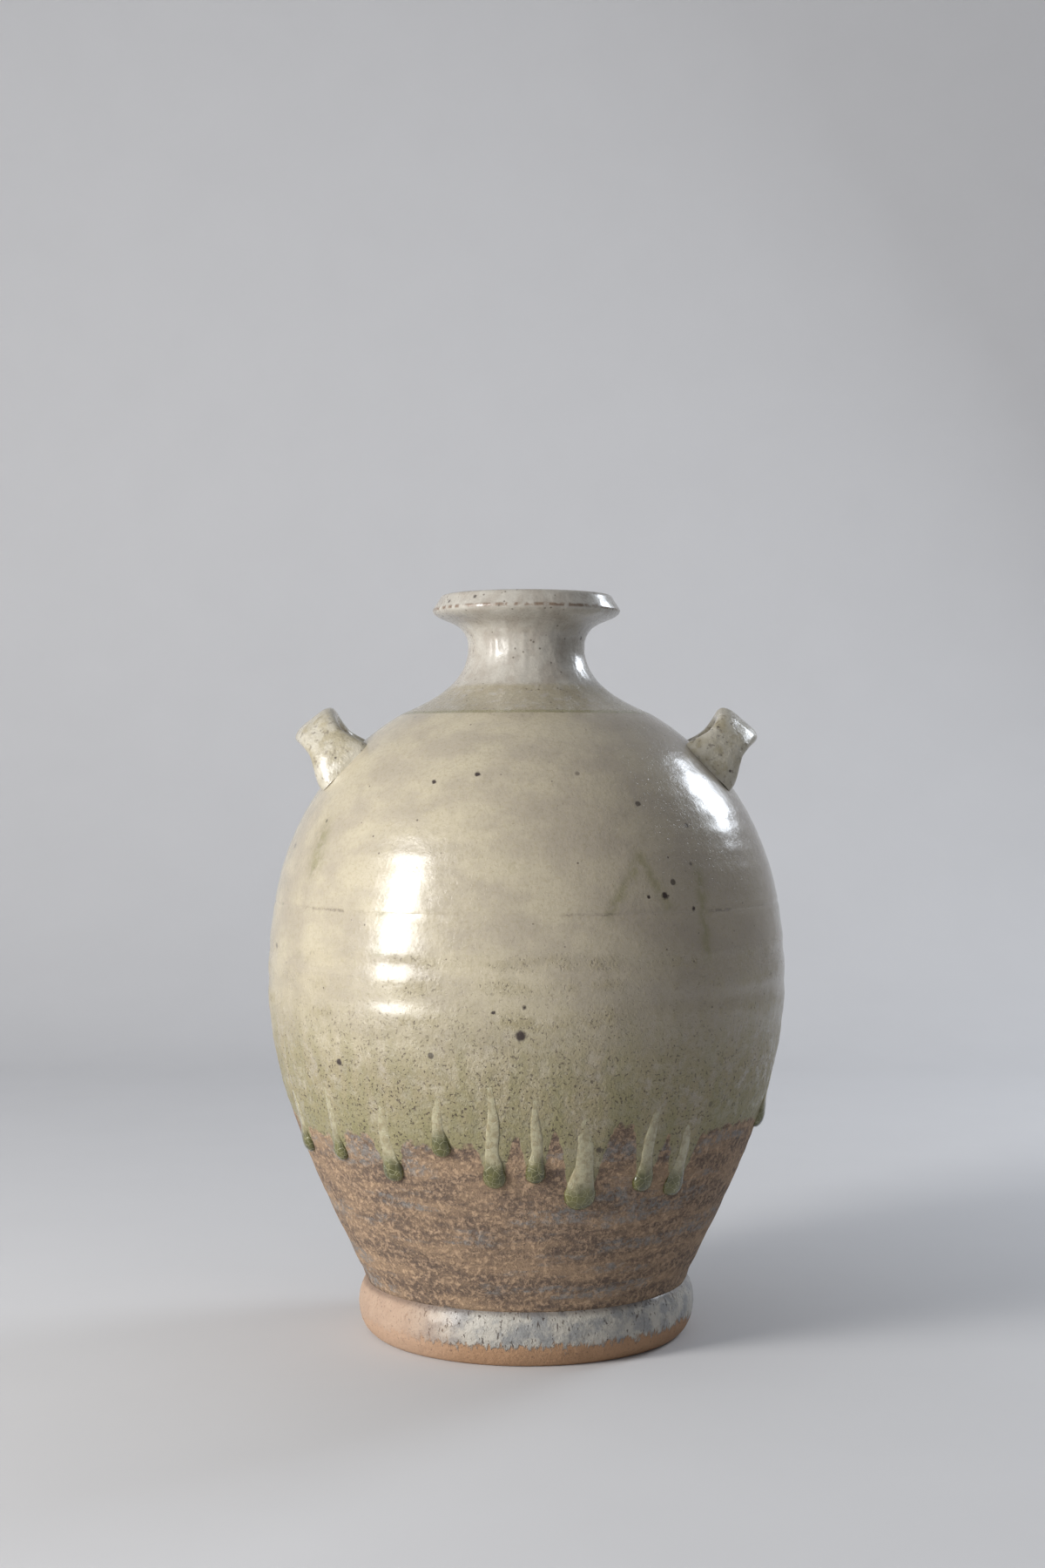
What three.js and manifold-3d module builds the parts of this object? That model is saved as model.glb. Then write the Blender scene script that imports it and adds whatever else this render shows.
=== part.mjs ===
// Double-handled stoneware bottle, built as a potter builds it: a foot ring, two thrown body
// sections luted together, a thrown neck with its rim, two strap handles and the glaze runs
// that set as beads near the foot. Millimetres, +Z up, resting on z = 0, front towards -Y.
import * as THREE from 'three';
import { mergeVertices } from 'three/addons/utils/BufferGeometryUtils.js';
import ManifoldModule from 'manifold-3d';

// Driving sizes of the whole bottle.
const HEIGHT = 300;
const SEGMENTS = 56;
const CLEARANCE = 0.3;

// Foot ring: a rounded roll of clay under the body.
const FOOT_CONTACT_R = 62.8;
const FOOT_BORE_R = 52;
const FOOT_BULGE_R = 68.6;
const FOOT_BULGE_Z = 11.6;
const FOOT_JOINT_R = 65.4;
const FOOT_JOINT_Z = 21.3;
const RECESS_HEIGHT = 14;
const RECESS_R = 50;

// Body: the two sections meet at SEAM_Z, above the widest point.
const BELLY_R = 105.9;
const BELLY_Z = 143;
const LOWER_FLARE_DEG = 62.6;
const LOWER_FLARE_PULL = 65.9;
const LOWER_BELLY_PULL = 30.3;
const UPPER_BELLY_PULL = 55.4;
const SHOULDER_PULL = 38.8;
const SHOULDER_DEG = 30.4;
const SEAM_Z = 175.5;
const SEAM_LIP_HEIGHT = 3;
const WALL = 6.5;
const FLOOR = 9;

// Neck and rim.
const NECK_SEAT_R = 51.9;
const NECK_SEAT_Z = 250.8;
const NECK_COVE_PULL = 5.7;
const WAIST_R = 24;
const WAIST_Z = 278.5;
const WAIST_PULL_DOWN = 17.8;
const WAIST_PULL_UP = 12;
const RIM_R = 38.6;
const RIM_EDGE_Z = 293.4;
const RIM_UNDER_PULL = 4.9;
const RIM_UNDER_DEG = 70.8;
const BEVEL_R = 35;
const MOUTH_R = 31;
const THROAT_R = 18;

// Handles: a flat strap bent to a loop, its ends pressed on the shoulder.
const LUG_SEAT_R = 75.2;
const LUG_SEAT_Z = 232.8;
const LUG_TILT_DEG = 51;
const LUG_REACH = 17.6;
const LUG_HALF_SPAN = 24;
const LUG_ROOT_DEPTH = 7;
const LUG_ROOT_HALF_WIDTH = 12.6;
const LUG_WAIST_HALF_WIDTH = 8.4;
const LUG_APEX_HALF_WIDTH = 10;
const LUG_HALF_THICKNESS = 4;
const LUG_STEPS = 24;
const LUG_SIDES = 16;

// Glaze runs: azimuth from the front towards +X in degrees, height of the bead's lower end,
// length of the run and half width of its bead.
const GLAZE_RUNS = [
  { azimuth: -68, foot: 77, length: 30, halfWidth: 4 },
  { azimuth: -50, foot: 78, length: 34, halfWidth: 3.6 },
  { azimuth: -33.5, foot: 72.5, length: 38, halfWidth: 4.4 },
  { azimuth: -19.5, foot: 84.5, length: 28, halfWidth: 3.8 },
  { azimuth: -7.5, foot: 73, length: 40, halfWidth: 4.4 },
  { azimuth: 2, foot: 74.5, length: 34, halfWidth: 3.8 },
  { azimuth: 13, foot: 63.5, length: 44, halfWidth: 6 },
  { azimuth: 29, foot: 69.5, length: 38, halfWidth: 4.2 },
  { azimuth: 39, foot: 66, length: 38, halfWidth: 4.6 },
  { azimuth: 78, foot: 84, length: 32, halfWidth: 4.4 },
  { azimuth: 103, foot: 72, length: 36, halfWidth: 4 },
  { azimuth: 130, foot: 66, length: 42, halfWidth: 4.8 },
  { azimuth: 158, foot: 80, length: 30, halfWidth: 3.8 },
  { azimuth: 187, foot: 69, length: 40, halfWidth: 4.6 },
  { azimuth: 218, foot: 64, length: 42, halfWidth: 5 },
  { azimuth: 252, foot: 79, length: 32, halfWidth: 4 },
];
const RUN_TAIL_WIDTH = 0.62;
const RUN_TAIL_HEIGHT = 1;
const RUN_BEAD_HEIGHT = 2.6;
const RUN_STEPS = 10;
const RUN_SIDES = 8;

const manifold = await ManifoldModule();
manifold.setup();

const radians = THREE.MathUtils.degToRad;
const point = (r, z) => new THREE.Vector2(r, z);
const along = (start, degrees, distance) => point(
  start.x + distance * Math.cos(radians(degrees)),
  start.y + distance * Math.sin(radians(degrees)),
);

function curve(start, pullStart, pullEnd, end, steps) {
  return new THREE.CubicBezierCurve(start, pullStart, pullEnd, end).getPoints(steps);
}

// Outer outline, in sections that the pieces share.
const footJoint = point(FOOT_JOINT_R, FOOT_JOINT_Z);
const belly = point(BELLY_R, BELLY_Z);
const neckSeat = point(NECK_SEAT_R, NECK_SEAT_Z);
const waist = point(WAIST_R, WAIST_Z);
const rimEdge = point(RIM_R, RIM_EDGE_Z);

const lowerOutline = curve(
  footJoint,
  along(footJoint, LOWER_FLARE_DEG, LOWER_FLARE_PULL),
  point(BELLY_R, BELLY_Z - LOWER_BELLY_PULL),
  belly,
  14,
);
const upperOutline = curve(
  belly,
  point(BELLY_R, BELLY_Z + UPPER_BELLY_PULL),
  along(neckSeat, -SHOULDER_DEG, SHOULDER_PULL),
  neckSeat,
  15,
);
const bodyOutline = [...lowerOutline, ...upperOutline.slice(1)];

const neckOutline = [
  ...curve(
    neckSeat,
    along(neckSeat, 180 - SHOULDER_DEG, NECK_COVE_PULL),
    point(WAIST_R, WAIST_Z - WAIST_PULL_DOWN),
    waist,
    8,
  ),
  ...curve(
    waist,
    point(WAIST_R, WAIST_Z + WAIST_PULL_UP),
    along(rimEdge, 180 + RIM_UNDER_DEG, RIM_UNDER_PULL),
    rimEdge,
    7,
  ).slice(1),
];

// Moves an outline by a distance along its own normal, inwards for a positive distance.
function inset(outline, distance) {
  return outline.map((here, i) => {
    const before = outline[Math.max(i - 1, 0)];
    const after = outline[Math.min(i + 1, outline.length - 1)];
    const tangent = after.clone().sub(before).normalize();
    return point(here.x - tangent.y * distance, here.y + tangent.x * distance);
  });
}

// Radius of an outline at a height, by the two points around it.
function radiusAt(outline, z) {
  const i = Math.max(1, outline.findIndex((p) => p.y >= z));
  const low = outline[i - 1];
  const high = outline[i];
  return THREE.MathUtils.mapLinear(z, low.y, high.y, low.x, high.x);
}

// Height and radius a given way along an outline, measured on the surface from its start.
function travel(outline, z, distance) {
  let here = point(radiusAt(outline, z), z);
  for (const next of outline.filter((p) => p.y > z)) {
    const step = here.distanceTo(next);
    if (step >= distance) {
      return here.clone().lerp(next, distance / step);
    }
    distance -= step;
    here = next;
  }
  return here;
}

// Welds a surface and drops the triangles that have no area.
function toSolid(geometry) {
  const bare = new THREE.BufferGeometry();
  bare.setAttribute('position', geometry.getAttribute('position'));
  bare.setIndex(geometry.getIndex());
  const welded = mergeVertices(bare, 1e-4);
  const index = welded.getIndex().array;
  const triangles = [];
  for (let i = 0; i < index.length; i += 3) {
    const [a, b, c] = index.slice(i, i + 3);
    if (a !== b && b !== c && c !== a) {
      triangles.push(a, b, c);
    }
  }
  return new manifold.Manifold(new manifold.Mesh({
    numProp: 3,
    vertProperties: new Float32Array(welded.getAttribute('position').array),
    triVerts: new Uint32Array(triangles),
  }));
}

function toGeometry(solid) {
  const mesh = solid.getMesh();
  const geometry = new THREE.BufferGeometry();
  geometry.setAttribute('position', new THREE.BufferAttribute(new Float32Array(mesh.vertProperties), 3));
  geometry.setIndex(new THREE.BufferAttribute(new Uint32Array(mesh.triVerts), 1));
  geometry.computeVertexNormals();
  return geometry;
}

// A closed profile in r and z, turned around the z axis.
function revolve(profile) {
  const geometry = new THREE.LatheGeometry(profile, SEGMENTS);
  geometry.rotateX(Math.PI / 2);
  return toSolid(geometry);
}

// A closed skin over rings of points, with a flat fan at each end.
function loft(rings) {
  const sides = rings[0].length;
  const positions = rings.flat().flatMap((p) => [p.x, p.y, p.z]);
  const centre = (ring) => ring.reduce((sum, p) => sum.add(p), new THREE.Vector3()).divideScalar(sides);
  const first = centre(rings[0]);
  const last = centre(rings.at(-1));
  positions.push(first.x, first.y, first.z, last.x, last.y, last.z);
  const firstIndex = rings.length * sides;
  const faces = [];
  for (let i = 0; i < sides; i += 1) {
    const j = (i + 1) % sides;
    faces.push(firstIndex, j, i);
    faces.push(firstIndex + 1, firstIndex - sides + i, firstIndex - sides + j);
    for (let k = 0; k < rings.length - 1; k += 1) {
      const low = k * sides;
      const high = low + sides;
      faces.push(low + i, low + j, high + j, low + i, high + j, high + i);
    }
  }
  const geometry = new THREE.BufferGeometry();
  geometry.setAttribute('position', new THREE.Float32BufferAttribute(positions, 3));
  geometry.setIndex(faces);
  return toSolid(geometry);
}

// The room that the body takes up, with the clearance left round it.
function bodyBlank() {
  const skin = inset(bodyOutline, -CLEARANCE);
  const bottom = point(0, skin[0].y);
  const top = point(0, skin.at(-1).y);
  return revolve([bottom, ...skin, top]);
}

function footRing() {
  return revolve([
    point(FOOT_BORE_R, 0),
    point(FOOT_CONTACT_R, 0),
    ...curve(
      point(FOOT_CONTACT_R + 1, 0.6),
      point(FOOT_CONTACT_R + 3.4, 2.4),
      point(FOOT_BULGE_R, FOOT_BULGE_Z - 5),
      point(FOOT_BULGE_R, FOOT_BULGE_Z),
      6,
    ),
    ...curve(
      point(FOOT_BULGE_R, FOOT_BULGE_Z),
      point(FOOT_BULGE_R, FOOT_BULGE_Z + 4),
      point(FOOT_JOINT_R + 2.4, FOOT_JOINT_Z - 2),
      footJoint,
      5,
    ).slice(1),
    point(RECESS_R, RECESS_HEIGHT),
    point(FOOT_BORE_R, 0),
  ]);
}

function lowerBody() {
  const wallInside = inset(bodyOutline, WALL).filter((p) => p.y > FOOT_JOINT_Z + FLOOR && p.y < SEAM_Z - 2);
  const outside = bodyOutline.filter((p) => p.y > FOOT_JOINT_Z + 2 && p.y < SEAM_Z - 2);
  const seamR = radiusAt(bodyOutline, SEAM_Z);
  const lipR = seamR - WALL / 2;
  const insideR = seamR - WALL;
  const floorTop = RECESS_HEIGHT + CLEARANCE + FLOOR;
  return revolve([
    point(0, RECESS_HEIGHT + CLEARANCE),
    point(RECESS_R, RECESS_HEIGHT + CLEARANCE),
    point(FOOT_JOINT_R, FOOT_JOINT_Z + CLEARANCE),
    ...outside,
    point(seamR, SEAM_Z),
    point(lipR, SEAM_Z),
    point(lipR, SEAM_Z + SEAM_LIP_HEIGHT),
    point(insideR, SEAM_Z + SEAM_LIP_HEIGHT),
    point(insideR, SEAM_Z),
    ...wallInside.reverse(),
    point(wallInside.at(-1).x - 8, floorTop + 2),
    point(wallInside.at(-1).x - 18, floorTop),
    point(0, floorTop),
  ]);
}

// The joint with the neck is square to the shoulder, so the neck sits in it like a plug.
const seatDepth = along(neckSeat, -90 - SHOULDER_DEG, WALL);

function upperBody() {
  const outside = bodyOutline.filter((p) => p.y > SEAM_Z + 2 && p.y < NECK_SEAT_Z - 1);
  const wallInside = inset(bodyOutline, WALL).filter((p) => (
    p.y > SEAM_Z + SEAM_LIP_HEIGHT + 3 && p.y < seatDepth.y - 1
  ));
  const low = SEAM_Z + CLEARANCE;
  const seamR = radiusAt(bodyOutline, low);
  const lipR = radiusAt(bodyOutline, SEAM_Z) - WALL / 2 + CLEARANCE;
  const insideR = radiusAt(bodyOutline, SEAM_Z) - WALL;
  const lipTop = low + SEAM_LIP_HEIGHT;
  return revolve([
    point(lipR, low),
    point(seamR, low),
    ...outside,
    neckSeat,
    seatDepth,
    ...wallInside.reverse(),
    point(insideR, lipTop),
    point(lipR, lipTop),
    point(lipR, low),
  ]);
}

function neckAndRim() {
  const outside = neckOutline.slice(1);
  const start = along(neckSeat, 180 - SHOULDER_DEG, CLEARANCE);
  const insideStart = along(start, -90 - SHOULDER_DEG, WALL);
  const inside = [
    ...curve(
      insideStart,
      along(insideStart, 180 - SHOULDER_DEG, 2 * NECK_COVE_PULL),
      point(THROAT_R, WAIST_Z - WAIST_PULL_DOWN),
      point(THROAT_R, WAIST_Z),
      7,
    ),
    ...curve(
      point(THROAT_R, WAIST_Z),
      point(THROAT_R, WAIST_Z + WAIST_PULL_UP),
      point(MOUTH_R - 3, RIM_EDGE_Z - 2),
      point(MOUTH_R, HEIGHT - 2),
      6,
    ).slice(1),
  ];
  return revolve([
    insideStart,
    start,
    ...outside,
    point(RIM_R - 0.2, RIM_EDGE_Z + 0.9),
    point(BEVEL_R, HEIGHT - 0.7),
    point(BEVEL_R - 1, HEIGHT),
    point(MOUTH_R + 1, HEIGHT),
    ...inside.reverse(),
  ]);
}

// A strap handle on the +X side: its middle line is a loop that leaves the shoulder, runs
// round the finger gap and comes back, and its section is a flat oval.
function handleLoop(blank) {
  const seat = new THREE.Vector3(LUG_SEAT_R, 0, LUG_SEAT_Z);
  const out = new THREE.Vector3(Math.cos(radians(LUG_TILT_DEG)), 0, Math.sin(radians(LUG_TILT_DEG)));
  const wide = new THREE.Vector3(out.z, 0, -out.x);
  const side = new THREE.Vector3(0, 1, 0);
  const knots = [
    [-LUG_HALF_SPAN, -LUG_ROOT_DEPTH],
    [-0.85 * LUG_HALF_SPAN, 0.36 * LUG_REACH],
    [-0.52 * LUG_HALF_SPAN, 0.83 * LUG_REACH],
    [0, LUG_REACH],
    [0.52 * LUG_HALF_SPAN, 0.83 * LUG_REACH],
    [0.85 * LUG_HALF_SPAN, 0.36 * LUG_REACH],
    [LUG_HALF_SPAN, -LUG_ROOT_DEPTH],
  ].map(([y, a]) => seat.clone().addScaledVector(side, y).addScaledVector(out, a));
  const path = new THREE.CatmullRomCurve3(knots, false, 'centripetal');
  const rings = [];
  for (let k = 0; k <= LUG_STEPS; k += 1) {
    const t = k / LUG_STEPS;
    const centre = path.getPointAt(t);
    const tangent = path.getTangentAt(t);
    const thick = new THREE.Vector3().crossVectors(tangent, wide).normalize();
    const fromApex = Math.abs(2 * t - 1);
    const root = THREE.MathUtils.smoothstep(fromApex, 0.6, 1);
    const crown = 1 - THREE.MathUtils.smoothstep(fromApex, 0, 0.55);
    const halfWidth = LUG_WAIST_HALF_WIDTH
      + (LUG_ROOT_HALF_WIDTH - LUG_WAIST_HALF_WIDTH) * root
      + (LUG_APEX_HALF_WIDTH - LUG_WAIST_HALF_WIDTH) * crown;
    const halfThickness = LUG_HALF_THICKNESS * (1 + 0.35 * root);
    const ring = [];
    for (let i = 0; i < LUG_SIDES; i += 1) {
      const turn = (2 * Math.PI * i) / LUG_SIDES;
      const u = Math.sign(Math.cos(turn)) * Math.abs(Math.cos(turn)) ** 0.75;
      const v = Math.sign(Math.sin(turn)) * Math.abs(Math.sin(turn)) ** 0.75;
      ring.push(centre.clone().addScaledVector(wide, halfWidth * u).addScaledVector(thick, halfThickness * v));
    }
    rings.push(ring);
  }
  return loft(rings).subtract(blank);
}

// One glaze run: a low rib down the wall that ends in a thick rounded bead.
function glazeRun(run, blank) {
  const turn = radians(run.azimuth);
  const outward = new THREE.Vector3(Math.sin(turn), -Math.cos(turn), 0);
  const side = new THREE.Vector3(-Math.cos(turn), -Math.sin(turn), 0);
  const up = new THREE.Vector3(0, 0, 1);
  const rings = [];
  for (let k = 0; k <= RUN_STEPS; k += 1) {
    const t = k / RUN_STEPS;
    const way = run.length * t ** 1.6;
    const here = travel(bodyOutline, run.foot, way);
    const next = travel(bodyOutline, run.foot, way + 1);
    const slope = next.sub(here).normalize();
    const normal = outward.clone().multiplyScalar(slope.y).addScaledVector(up, -slope.x);
    const centre = outward.clone().multiplyScalar(here.x).addScaledVector(up, here.y);
    const beadEnd = 2.2 * run.halfWidth;
    const bead = way < run.halfWidth
      ? Math.sqrt(Math.max(0.06, 1 - (1 - way / run.halfWidth) ** 2))
      : 1;
    const fade = THREE.MathUtils.smoothstep(way, run.halfWidth, 2 * beadEnd);
    const tip = 1 - 0.55 * THREE.MathUtils.smoothstep(t, 0.6, 1);
    const halfWidth = run.halfWidth * bead * (1 - (1 - RUN_TAIL_WIDTH) * fade) * tip;
    const height = THREE.MathUtils.lerp(RUN_BEAD_HEIGHT * bead, RUN_TAIL_HEIGHT, fade) * (0.4 + 0.6 * tip);
    const ring = [];
    for (let i = 0; i < RUN_SIDES; i += 1) {
      const angle = (2 * Math.PI * i) / RUN_SIDES;
      ring.push(centre.clone()
        .addScaledVector(side, halfWidth * Math.cos(angle))
        .addScaledVector(normal, (height + CLEARANCE) * Math.sin(angle)));
    }
    rings.push(ring);
  }
  return loft(rings).subtract(blank);
}

function clay(colour, roughness) {
  return new THREE.MeshStandardMaterial({ color: colour, roughness, metalness: 0 });
}

const group = new THREE.Group();
group.name = 'double_handled_bottle';

function addPiece(name, solid, material) {
  const mesh = new THREE.Mesh(toGeometry(solid), material);
  mesh.name = name;
  group.add(mesh);
}

const blank = bodyBlank();
const rightLoop = handleLoop(blank);

addPiece('foot_ring', footRing(), clay('#a9907a', 0.8));
addPiece('lower_body', lowerBody(), clay('#b3a48c', 0.45));
addPiece('upper_body', upperBody(), clay('#b8ac93', 0.35));
addPiece('neck_and_rim', neckAndRim(), clay('#b5b0a5', 0.35));
addPiece('right_handle', rightLoop, clay('#aba596', 0.4));
addPiece('left_handle', rightLoop.rotate([0, 0, 180]), clay('#aba596', 0.4));
GLAZE_RUNS.forEach((run, i) => {
  const number = String(i + 1).padStart(2, '0');
  addPiece(`glaze_run_${number}`, glazeRun(run, blank), clay('#6f7358', 0.15));
});

export default group;
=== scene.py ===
"""Looks for the double-handled stoneware bottle: ash glaze, bare clay, glassy beads and studio light.

Shapes are worked out in millimetres, as a potter would measure them, and turned into metres when
each mesh is made. Lights, floor and camera are in metres. The azimuth is in degrees, 0 at the
front, -Y, and grows towards +X. A point of an outline is (radius, height).
"""
import math

import bpy
import numpy as np
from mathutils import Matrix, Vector, noise


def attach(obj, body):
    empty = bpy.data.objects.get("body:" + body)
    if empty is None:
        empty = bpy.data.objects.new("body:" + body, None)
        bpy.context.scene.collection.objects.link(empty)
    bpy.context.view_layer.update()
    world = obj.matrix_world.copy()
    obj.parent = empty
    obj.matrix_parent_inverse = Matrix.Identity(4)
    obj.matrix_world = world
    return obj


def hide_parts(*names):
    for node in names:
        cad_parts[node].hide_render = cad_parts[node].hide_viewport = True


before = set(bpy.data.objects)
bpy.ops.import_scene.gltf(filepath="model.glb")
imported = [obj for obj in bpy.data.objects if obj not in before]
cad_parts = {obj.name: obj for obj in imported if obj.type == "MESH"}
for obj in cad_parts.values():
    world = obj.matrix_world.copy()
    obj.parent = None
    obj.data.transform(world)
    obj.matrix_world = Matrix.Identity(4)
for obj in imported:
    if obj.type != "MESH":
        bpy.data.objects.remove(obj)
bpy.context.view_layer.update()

# Fineness of the meshes.
MM = 0.001
COLUMNS = 420
ROW_STEP = 1.3
FINE_STEP = 0.9
INNER_STEP = 6.0
UPPER_INNER_SKIP = 4
RUN_STEP = 0.7
RUN_SIDES = 28
HANDLE_STEPS = 84
HANDLE_SIDES = 40
ON_AXIS = 1e-6

# Foot ring.
FOOT_CONTACT_R = 62.8
FOOT_BORE_R = 52.0
FOOT_BULGE_R = 68.6
FOOT_BULGE_Z = 11.6
FOOT_JOINT = (65.4, 21.3)
RECESS_R = 50.0
RECESS_HEIGHT = 14.0

# Body.
BELLY = (105.9, 143.0)
LOWER_FLARE_DEG = 62.6
LOWER_FLARE_PULL = 65.9
LOWER_BELLY_PULL = 30.3
UPPER_BELLY_PULL = 55.4
SHOULDER_DEG = 30.4
SHOULDER_PULL = 38.8
SEAM_Z = 175.5
WALL = 6.5
FLOOR_TOP = 23.3
INNER_WALL_FOOT_Z = 32

# Neck and rim.
HEIGHT = 300.0
NECK_SEAT = (51.9, 250.8)
NECK_COVE_PULL = 5.7
WAIST = (24.0, 278.5)
WAIST_PULL_DOWN = 17.8
WAIST_PULL_UP = 12
RIM_EDGE = (38.6, 293.4)
RIM_UNDER_DEG = 70.8
RIM_UNDER_PULL = 4.9
THROAT_R = 18.0
MOUTH_R = 31.0

# Handles: where the strap sits on the shoulder, how far it leans, stands off and spreads.
HANDLE_SEAT = (75.2, 0, 232.8)
HANDLE_TILT_DEG = 51
HANDLE_REACH = 17.6
HANDLE_HALF_SPAN = 24.0
HANDLE_ROOT_DEPTH = 7
HANDLE_HALF_WIDTH = 8.4
HANDLE_ROOT_SPREAD = 4.6
HANDLE_HEAD_SPREAD = 1.6
HANDLE_HALF_THICKNESS = 4.0

# Relief of the wall. It is sunk as a whole, so that hardly any of it stands out past the outline.
TOOL_MARK = 0.04
THROWING_RING = 0.09
SEAM_DEPTH = 0.42
SEAM_HALF_WIDTH = 0.9
GLAZE_THICKNESS = 0.34
GRIT = 0.16
SWELL = 0.3
RELIEF_SINK = 0.72

# Glaze runs: azimuth, height of the bead's lower end, length and half width of the bead.
RUNS = [
    (-68, 77, 30, 4.0), (-50, 78, 34, 3.6), (-33.5, 72.5, 38, 4.4), (-19.5, 84.5, 28, 3.8),
    (-7.5, 73, 40, 4.4), (2, 74.5, 34, 3.8), (13, 63.5, 44, 6.0), (29, 69.5, 38, 4.2),
    (39, 66, 38, 4.6), (78, 84, 32, 4.4), (103, 72, 36, 4.0), (130, 66, 42, 4.8),
    (158, 80, 30, 3.8), (187, 69, 40, 4.6), (218, 64, 42, 5.0), (252, 79, 32, 4.0),
]
GLAZE_EDGE_Z = 92.0
BEAD_HEIGHT = 2.5
TAIL_HEIGHT = 0.55
RUN_SINK = 0.55

# Iron spots on the glaze: azimuth, height and radius.
IRON_SPOTS = [
    (-13.3, 227.2, 1.5), (-25.2, 224.2, 1.3), (-1.2, 131.9, 2.7), (-0.5, 142.2, 1.2),
    (-6.6, 140.2, 1.1), (30.4, 181.9, 1.8), (26.4, 181.8, 1.1), (37.4, 176.7, 1.2),
    (-43.1, 118.4, 1.7), (112, 190, 1.6), (164, 152, 2.0), (221, 204, 1.4),
]

# Olive runs on the shoulder: a line from one azimuth and height to another, and its half width.
OLIVE_TRAILS = [
    ((25.6, 196), (17.2, 176), 2.4), ((25.6, 196), (31, 178), 2.2),
    ((40.4, 190), (40.1, 160), 2.6), ((-31, 186), (-31.7, 161), 2.2),
    ((-57, 204), (-56, 192), 5.0), ((120, 200), (118, 170), 2.6), ((201, 196), (198, 164), 2.6),
]

# Matte sandy bands round the belly: height, half width and strength.
SANDY_BANDS = [(158, 4.5, 0.6), (149, 5.0, 0.75), (137, 6.5, 0.9)]

# Colours.
CREAM = (0.47, 0.415, 0.30)
SAND_OLIVE = (0.29, 0.245, 0.14)
OLIVE = (0.21, 0.195, 0.085)
MAUVE_GREY = (0.29, 0.25, 0.205)
IRON = (0.035, 0.022, 0.016)
TAN_CLAY = (0.44, 0.30, 0.19)
BROWN_CLAY = (0.17, 0.125, 0.10)
DARK_CLAY = (0.07, 0.045, 0.035)
WASH_GREY = (0.25, 0.25, 0.245)
ORANGE_CLAY = (0.37, 0.22, 0.125)
PINK_CLAY = (0.42, 0.28, 0.19)
GLAZE_WHITE = (0.43, 0.405, 0.355)
RIM_BROWN = (0.16, 0.10, 0.06)
NECK_SPECK = (0.09, 0.07, 0.05)
HANDLE_GREY = (0.49, 0.455, 0.37)
TAIL_GLAZE = (0.40, 0.365, 0.235)
BEAD_GREEN = (0.055, 0.055, 0.010)
BEAD_AMBER = (0.125, 0.118, 0.034)
CRACK_PALE = (0.38, 0.36, 0.20)
PAPER = (0.62, 0.62, 0.63)
PAPER_SHADE = (0.2, 0.2, 0.2)
COAT_ROUGHNESS = 0.16

# Window light from the left and cooler light from the right behind, in metres and watts.
KEY_PLACE = (-1.12, -0.72, 0.50)
KEY_SIZE = (0.40, 0.85)
KEY_POWER = 22.0
KEY_COLOUR = (1.0, 0.98, 0.95)
FILL_PLACE = (0.85, 0.62, 0.75)
FILL_SIZE = (0.35, 0.35)
FILL_POWER = 5.0
FILL_COLOUR = (0.86, 0.92, 1.0)
LIGHT_AIM = (0, 0, 0.15)
ROOM_COLOUR = (0.93, 0.95, 1.0, 1)
ROOM_LEVEL_LEFT = 0.62
ROOM_LEVEL_RIGHT = 0.16
ROOM_SPREAD = (-0.7, 0.9)
SEEN_LEVEL = 0.7

# Floor sweep and camera, in metres.
SWEEP_HALF_WIDTH = 2.2
SWEEP_FRONT = -1.6
SWEEP_BEND = 0.75
SWEEP_RADIUS = 0.5
SWEEP_TOP = 2.4
CAMERA_PLACE = (-0.00158, -0.8956, 0.2298)
CAMERA_PITCH = math.atan(20 / 2500)
LENS_MM = 50
SENSOR_HEIGHT_MM = 36


def bezier(p0, p1, p2, p3, steps):
    """Points along a cubic curve, from its two ends and two pulls."""
    t = np.linspace(0, 1, steps + 1)[:, None]
    points = [np.array(p, float) for p in (p0, p1, p2, p3)]
    weights = [(1 - t) ** 3, 3 * (1 - t) ** 2 * t, 3 * (1 - t) * t ** 2, t ** 3]
    return sum(w * p for w, p in zip(weights, points))


def along(start, degrees, distance):
    """The point a distance away from another, in a direction measured up from outwards."""
    turn = math.radians(degrees)
    return (start[0] + distance * math.cos(turn), start[1] + distance * math.sin(turn))


def resample(points, step):
    """Spreads points evenly along a line, about a step apart."""
    points = np.array(points, float)
    lengths = np.linalg.norm(np.diff(points, axis=0), axis=1)
    way = np.concatenate([[0], np.cumsum(lengths)])
    count = max(2, round(way[-1] / step) + 1)
    marks = np.linspace(0, way[-1], count)
    return np.stack([np.interp(marks, way, points[:, k]) for k in (0, 1)], axis=1)


def inset(points, distance):
    """Moves an outline inwards along its own normal."""
    tangent = np.gradient(points, axis=0)
    tangent /= np.linalg.norm(tangent, axis=1)[:, None]
    return points + distance * np.stack([-tangent[:, 1], tangent[:, 0]], axis=1)


def outline_below():
    flare = along(FOOT_JOINT, LOWER_FLARE_DEG, LOWER_FLARE_PULL)
    return bezier(FOOT_JOINT, flare, (BELLY[0], BELLY[1] - LOWER_BELLY_PULL), BELLY, 120)


def outline_above():
    shoulder = along(NECK_SEAT, -SHOULDER_DEG, SHOULDER_PULL)
    return bezier(BELLY, (BELLY[0], BELLY[1] + UPPER_BELLY_PULL), shoulder, NECK_SEAT, 140)


BODY = np.concatenate([outline_below(), outline_above()[1:]])


def body_radius(z):
    return np.interp(z, BODY[:, 1], BODY[:, 0])


def smooth(value, low, high):
    t = np.clip((value - low) / (high - low), 0, 1)
    return t * t * (3 - 2 * t)


def turn_gap(azimuth, place):
    """Shortest way round from a place to an azimuth, in degrees."""
    return (azimuth - place + 180) % 360 - 180


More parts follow.
